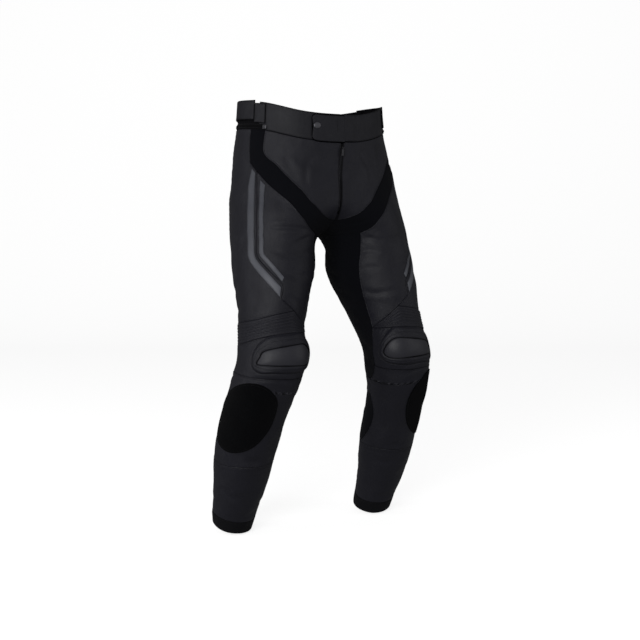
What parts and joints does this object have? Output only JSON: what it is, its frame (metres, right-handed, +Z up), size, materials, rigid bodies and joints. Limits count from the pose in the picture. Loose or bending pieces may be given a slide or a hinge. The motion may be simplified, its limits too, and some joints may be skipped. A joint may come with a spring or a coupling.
{
  "type": "leather motorcycle trousers",
  "caption": "Motorcycle trousers in black leather with stretch inserts, padded knees, slider patches, an adjustable waist and a zipped fly, standing as if worn.",
  "frame": {"origin": "the centre of the waist seam, where the wearer's waist holds the trousers", "axes": "+X to the wearer's left, +Y to the back, +Z up"},
  "size_m": [0.4844, 0.3194, 0.9309],
  "materials": {
    "leather": "fine grain, satin",
    "cuff": "soft, matt",
    "stretch": "ribbed elastic knit, matt",
    "patch": "short hook-and-loop pile, matt",
    "stripe": "fine grain, satin",
    "knee_leather": "smooth, soft sheen",
    "elastic": "gathered elastic band, matt",
    "metal": "darkened, satin",
    "zip_tape": "woven tape, matt"
  },
  "bodies": {
    "trousers": {"accordion_L": "leather", "accordion_R": "leather", "calf_low_L": "leather", "calf_low_R": "leather", "calf_stretch_L": "stretch", "calf_stretch_R": "stretch", "connection_zip": "zip_tape", "connection_zip_stop": "metal", "fly_end_tab": "stretch", "fly_slider": "metal", "fly_zip": "zip_tape", "front_panel_L": "leather", "front_panel_R": "leather", "hem_cuff_L": "cuff", "hem_cuff_R": "cuff", "inner_leg_L": "stretch", "inner_leg_R": "stretch", "knee_back_L": "leather", "knee_back_R": "leather", "knee_cup_L": "leather", "knee_cup_R": "leather", "knee_panel_L": "knee_leather", "knee_panel_R": "knee_leather", "knee_slider_patch_L": "patch", "knee_slider_patch_R": "patch", "knee_surround_L": "leather", "knee_surround_R": "leather", "seat_L": "leather", "seat_R": "leather", "shin_lower_L": "leather", "shin_lower_R": "leather", "shin_upper_L": "leather", "shin_upper_R": "leather", "snap_button": "metal", "strap_base_L": "leather", "strap_base_R": "leather", "stripe_inner_L": "stripe", "stripe_inner_R": "stripe", "stripe_outer_L": "stripe", "stripe_outer_R": "stripe", "thigh_front_L": "leather", "thigh_front_R": "leather", "thigh_side_L": "leather", "thigh_side_R": "leather", "v_band_L": "stretch", "v_band_R": "stretch", "waist_elastic_L": "elastic", "waist_elastic_R": "elastic", "waist_strap_L": "leather", "waist_strap_R": "leather", "waist_tab": "leather", "waistband_back": "leather", "waistband_front_L": "leather", "waistband_front_R": "leather"},
    "pull_tab": {"fly_pull": "metal"}
  },
  "joints": [
    {"name": "pull_tab_hinge", "type": "hinge", "parent": "trousers", "child": "pull_tab", "pos_m": [0.01033, -0.12174, -0.07444], "axis": [-0.9865, 0.0282, 0.1611], "range_deg": [0, 140]}
  ]
}
